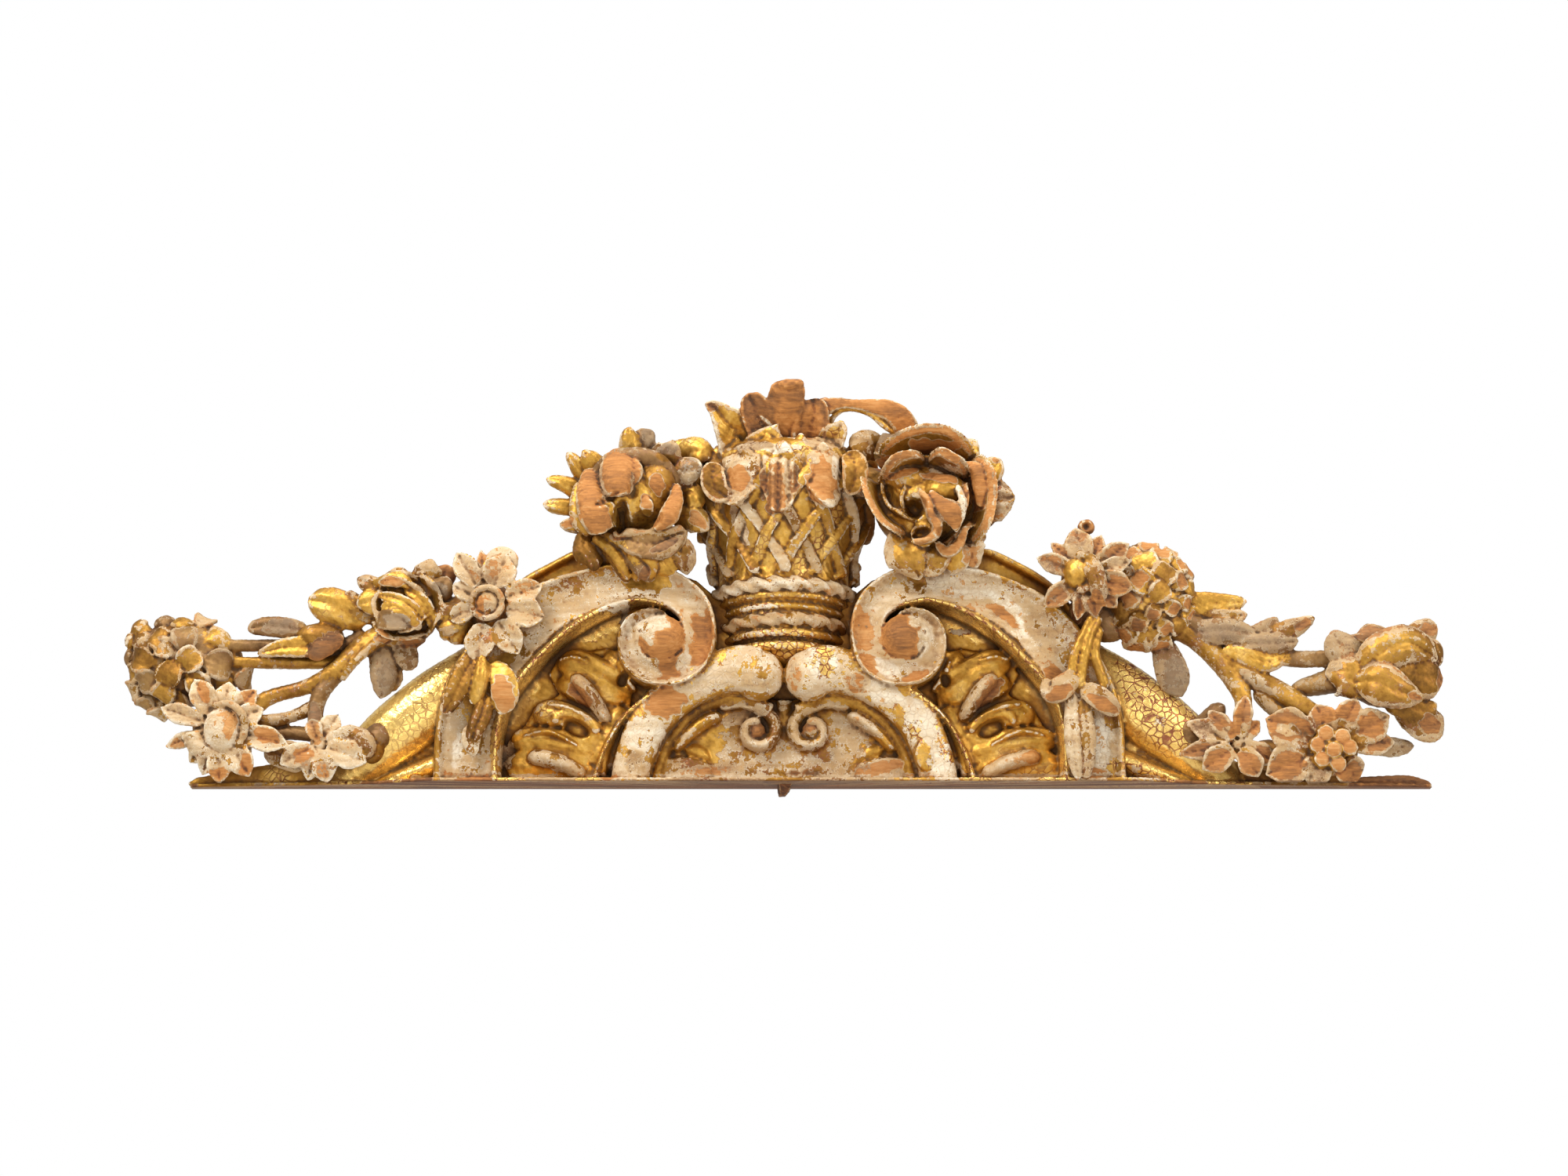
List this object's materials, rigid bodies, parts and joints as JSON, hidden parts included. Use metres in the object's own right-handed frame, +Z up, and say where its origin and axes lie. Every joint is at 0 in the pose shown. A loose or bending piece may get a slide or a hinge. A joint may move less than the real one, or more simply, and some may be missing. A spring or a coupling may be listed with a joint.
{
  "type": "overdoor panel",
  "caption": "Carved giltwood overdoor panel: scrolled arches frame a basket of flowers, with a garland running out to each side. Flat back for fixing above a door.",
  "frame": {"origin": "on the flat back, in the middle of the panel's length, 60 mm above the flat underside", "axes": "+X to the right as seen from the front, +Y into the wall, +Z up; the carved front faces -Y"},
  "size_m": [1.5039, 0.1609, 0.4749],
  "materials": {
    "giltwood": "worn gold leaf over gesso, with bare wood showing"
  },
  "bodies": {
    "root": {"carved_panel": "giltwood"}
  },
  "joints": []
}
